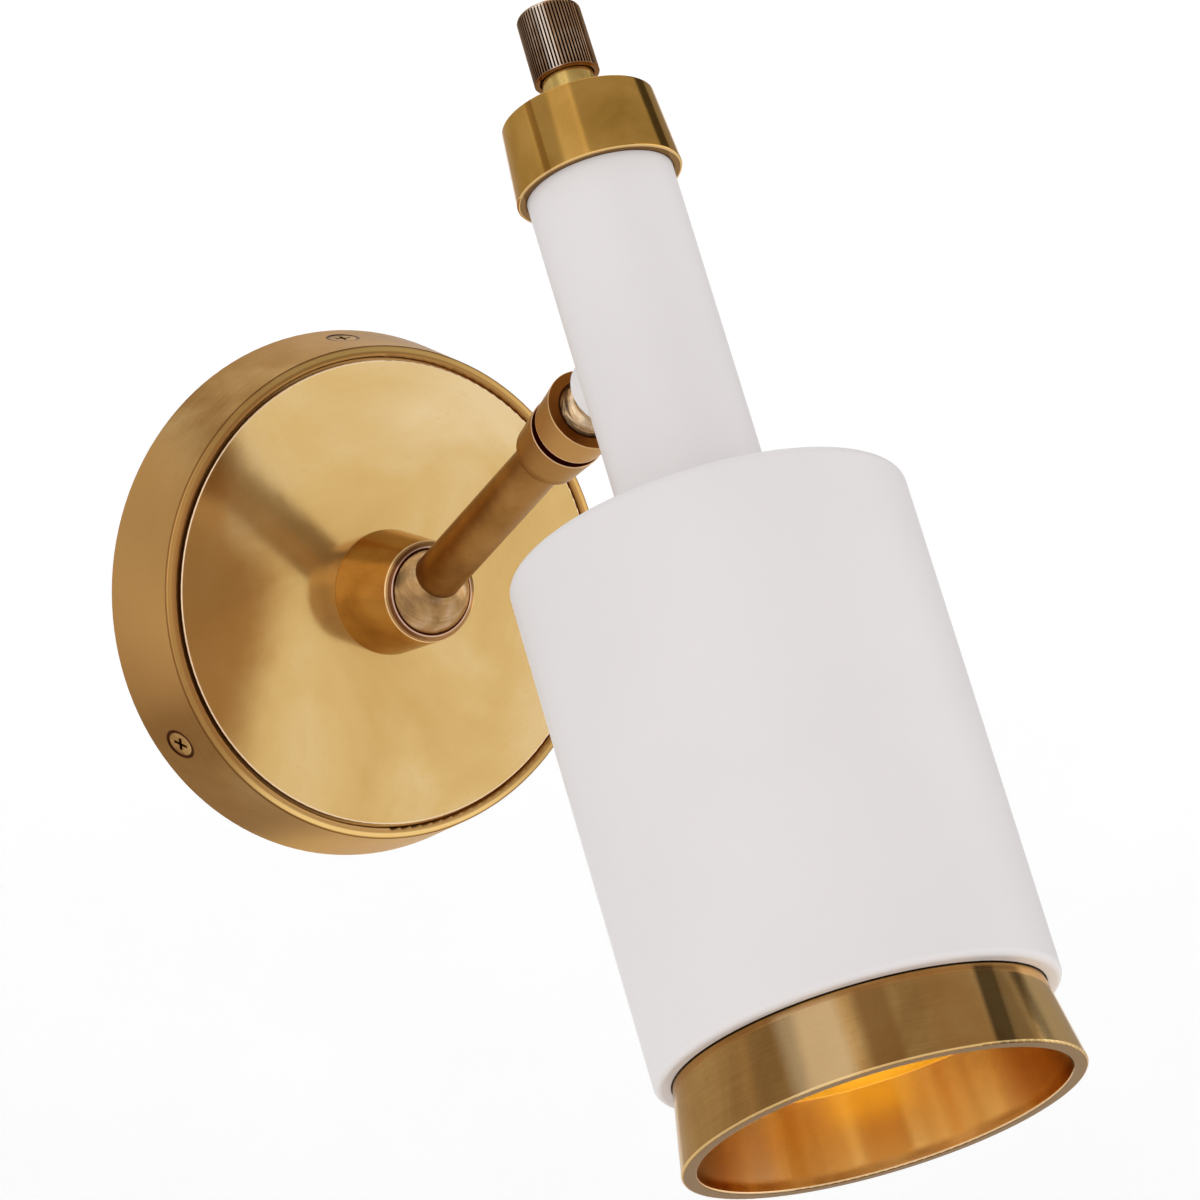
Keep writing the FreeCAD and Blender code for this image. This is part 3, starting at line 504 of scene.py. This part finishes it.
CAP_MARKS = [
    Mark(15.9, 17.5, 210.0, 210.8, 0.1, tone(124, 92, 58), 0.95),      # brown underside: painted shade
    Mark(15.8, 16.25, 210.0, 211.5, 0.1, tone(70, 40, 18), 0.9),       # painted shade at the edge by the tube
    Mark(17.5, 18.1, 210.4, 210.75, 0.08, tone(236, 202, 146), 0.6),   # painted highlight on the lower edge
]
KNOB_MARKS = [
    Mark(6.3, 6.80, 251.2, 251.8, 0.08, tone(24, 12, 6), 0.9),         # painted shade in the upper ends of the flutes
    Mark(4.5, 7.30, 230.0, 236.62, 0.05, tone(112, 68, 30), 0.92),     # brown lower face
]


# Materials

plate_brass = brass("plate_brass", WALL, tone(190, 150, 86), tone(206, 171, 108), tone(220, 194, 146),
                    rough=0.14, brush=0.4, cloud=20.0, metal=0.72,
                    shift=plate_painted_sheen, tints=plate_painted_reflection_and_shade, marks=PLATE_MARKS)
rim_brass = brass("rim_brass", WALL, tone(128, 86, 44), tone(172, 130, 76), tone(212, 178, 122),
                  rough=0.34, brush=0.9, cloud=26.0, tints=rim_painted_reflections_and_shade, marks=RIM_MARKS)
boss_brass = brass("boss_brass", WALL, tone(160, 114, 60), tone(212, 168, 106), tone(228, 192, 138),
                   rough=0.17, brush=0.35, cloud=40.0, tints=boss_painted_reflections, marks=BOSS_MARKS)
arm_brass = brass("arm_brass", ARM, tone(118, 76, 34), tone(150, 104, 52), tone(172, 126, 70),
                  rough=0.30, brush=0.6, cloud=60.0, marks=ARM_MARKS)
ball_brass = brass("ball_brass", ARM, tone(120, 88, 58), tone(178, 138, 90), tone(216, 184, 150),
                   rough=0.26, cloud=110.0, grain=2.0, tints=ball_streaks(0.16))
head_ball_brass = brass("head_ball_brass", ARM, tone(84, 54, 26), tone(182, 144, 100),
                        tone(238, 214, 178), rough=0.26, cloud=170.0, grain=3.0,
                        tints=ball_streaks(1.0))
ring_brass = brass("ring_brass", HEAD, tone(150, 104, 52), tone(188, 142, 82), tone(212, 172, 112),
                   rough=0.14, brush=0.6, cloud=30.0, tints=ring_painted_light, marks=RING_MARKS,
                   inner=(0.0384, 0.08))
cap_brass = brass("cap_brass", HEAD, tone(182, 134, 58), tone(206, 156, 78), tone(217, 173, 96),
                  rough=0.12, brush=0.2, cloud=40.0, tints=cap_painted_reflection, marks=CAP_MARKS)
collar_brass = brass("collar_brass", HEAD, tone(160, 126, 62), tone(208, 170, 98), tone(228, 200, 124),
                     rough=0.24, cloud=60.0)
knob_brass = brass("knob_brass", HEAD, tone(128, 90, 62), tone(184, 144, 110), tone(232, 202, 176),
                   rough=0.14, brush=0.2, cloud=90.0, tints=knob_painted_light, marks=KNOB_MARKS)
screw_brass = brass("screw_brass", WALL, tone(96, 66, 34), tone(156, 116, 66), tone(200, 164, 110),
                    rough=0.30, brush=0.3, cloud=200.0, tints=screw_ring_shade)
contact_brass = brass("contact_brass", HEAD, tone(160, 128, 70), tone(214, 184, 116), tone(236, 212, 156),
                      rough=0.24, brush=0.4, cloud=90.0)
white_paint = paint("white_paint", HEAD, tone(236, 231, 230), tone(232, 227, 226))
zinc = plain_metal("zinc", WALL, tone(205, 205, 204), tone(160, 162, 164), rough=0.26)
head_zinc = plain_metal("head_zinc", HEAD, tone(205, 205, 204), tone(160, 162, 164), rough=0.26)
spring_steel = plain_metal("spring_steel", ARM, tone(130, 130, 134), tone(84, 84, 90), rough=0.30)
cap_metal = plain_metal("cap_metal", HEAD, tone(214, 213, 208), tone(176, 175, 170), rough=0.24)
green_paint = moulded("green_paint", WALL, tone(40, 122, 62), tone(28, 100, 50), rough=0.35)
seat_plastic = moulded("seat_plastic", ARM, tone(226, 222, 208), tone(214, 208, 192), rough=0.45)
holder_plastic = moulded("holder_plastic", HEAD, tone(238, 235, 226), tone(228, 224, 212), rough=0.25)
dimmer_plastic = moulded("dimmer_plastic", HEAD, tone(34, 34, 36), tone(24, 24, 26), rough=0.45)
lead_plastic = moulded("lead_plastic", HEAD, tone(222, 219, 208), tone(206, 202, 190), rough=0.40)
bulb_glass = lit_glass("bulb_glass", HEAD)

dress(rim_brass, "backplate_drum")
dress(plate_brass, "face_plate")
dress(screw_brass, "side_screws")
dress(boss_brass, "socket_boss")
dress(zinc, "wall_bracket", "socket_plug", "lock_washer", "lock_nut")
dress(green_paint, "ground_screw")
dress(spring_steel, "wall_spring", "head_spring", "knob_screw")
dress(seat_plastic, "wall_seat", "head_seat")
dress(ball_brass, "wall_ball")
dress(head_ball_brass, "head_ball")
dress(arm_brass, "arm_tube", "arm_cup", "cup_ring_nut")
dress(lead_plastic, "arm_leads", "holder_leads", "neck_leads")
dress(white_paint, "neck_sleeve", "upper_tube", "shade")
dress(head_zinc, "saddle_washer", "stem_nut", "shade_bushing", "holder_bracket", "bracket_screws",
      "lampholder_stud", "stud_nut", "dimmer_shaft")
dress(ring_brass, "trim_ring")
dress(cap_brass, "top_cap")
dress(collar_brass, "collar_nut")
dress(dimmer_plastic, "dimmer_body")
dress(holder_plastic, "lampholder_cap", "lampholder_body")
dress(contact_brass, "screw_shell", "centre_contact")
dress(cap_metal, "bulb_base")
dress(bulb_glass, "bulb_globe")
dress(knob_brass, "knob")


# Floor

def floor():
    """One pale sheet that lies far below, bends up behind the light and narrows as it rises."""
    floor_half = 6.0
    wall_half = 0.9
    narrowing = 0.25
    near, far = -5.0, 3.0
    low, high = -0.75, 1.5
    bend = 1.2
    steps = 12

    profile = [(near, low)]
    for step in range(steps + 1):
        angle = math.pi / 2 * step / steps
        profile.append((far - bend + bend * math.sin(angle), low + bend - bend * math.cos(angle)))
    profile.append((far, high))
    vertices = []
    for y, z in profile:
        half = max(wall_half, floor_half - (floor_half - wall_half) * (z - low) / narrowing)
        vertices += [(-half, y, z), (half, y, z)]
    faces = [(2 * i, 2 * i + 1, 2 * i + 3, 2 * i + 2) for i in range(len(profile) - 1)]
    mesh = bpy.data.meshes.new("floor")
    mesh.from_pydata(vertices, [], faces)
    mesh.shade_smooth()

    made = bpy.data.objects.new("floor", mesh)
    made.rotation_euler = Euler((0.0, 0.0, math.radians(CAMERA_AZIMUTH)))
    bpy.context.scene.collection.objects.link(made)
    n = Finish("floor")
    grain = n.noise(n.node("ShaderNodeTexCoord").outputs["Object"], scale=8.0, detail=4.0)
    colour = n.mix(grain, tone(250, 250, 250), tone(246, 246, 246))
    mesh.materials.append(n.finish(Base_Color=colour, Roughness=0.9,
                                   Emission_Color=tone(255, 255, 255), Emission_Strength=0.15))


floor()


# Light

ROOM_LEVEL = 1.18
ROOM_ZONES = [
    Zone((0.95, -0.10, -0.25), 28, 55, 1.46),       # bright wall at the right
    Zone((-0.88, 0.20, 0.42), 10, 24, 0.50),        # dim patch at the left, a little above
    Zone((-0.30, 0.95, 0.08), 38, 50, 0.62),        # dim wall behind
    Zone((0.80, 0.50, 0.33), 20, 30, 0.38),         # dim corner behind at the right
    Zone((-0.70, -0.21, 0.68), 8, 17, 0.80),        # greyer ceiling at the left
    Zone((0.10, -0.50, 0.86), 34, 41, 0.53),        # dim ceiling at the front
    Zone((0.70, -0.12, 0.70), 11, 17, 0.53),        # its end at the right
    Zone((0.776, 0.242, 0.582), 10, 13.5, 0.09),    # dark corner of the ceiling at the right
]


def studio():
    """A white room all round, with brighter and dimmer zones that the brass reflects."""
    world = bpy.data.worlds.new("studio")
    bpy.context.scene.world = world
    world.use_nodes = True
    n = Nodes(world.node_tree)
    look = n.node("ShaderNodeTexCoord").outputs["Generated"]
    level = ROOM_LEVEL
    for zone in ROOM_ZONES:
        toward = Vector(zone.direction).normalized()
        facing = n.vector("DOT_PRODUCT", look, toward)
        share = n.slope(facing, math.cos(math.radians(zone.reach)), math.cos(math.radians(zone.core)))
        level = n.mix(share, level, zone.level, kind="FLOAT")
    background = n.tree.nodes["Background"]
    background.inputs["Color"].default_value = tone(255, 255, 255)
    n.feed(background.inputs["Strength"], level)


studio()


# Camera

def camera():
    """The photograph's camera, as it was fitted to the light's outlines."""
    azimuth = math.radians(CAMERA_AZIMUTH)
    elevation = math.radians(CAMERA_ELEVATION)
    outward = math.cos(elevation)
    back = Vector((math.sin(azimuth) * outward, -math.cos(azimuth) * outward, math.sin(elevation)))
    data = bpy.data.cameras.new("camera")
    data.lens = LENS
    data.sensor_width = SENSOR_WIDTH
    data.clip_start, data.clip_end = CLIP_RANGE
    made = bpy.data.objects.new("camera", data)
    made.location = CAMERA_PLACE
    made.rotation_euler = back.to_track_quat("Z", "Y").to_euler()
    bpy.context.scene.collection.objects.link(made)
    bpy.context.scene.camera = made


camera()
bpy.context.scene.view_settings.view_transform = "Standard"
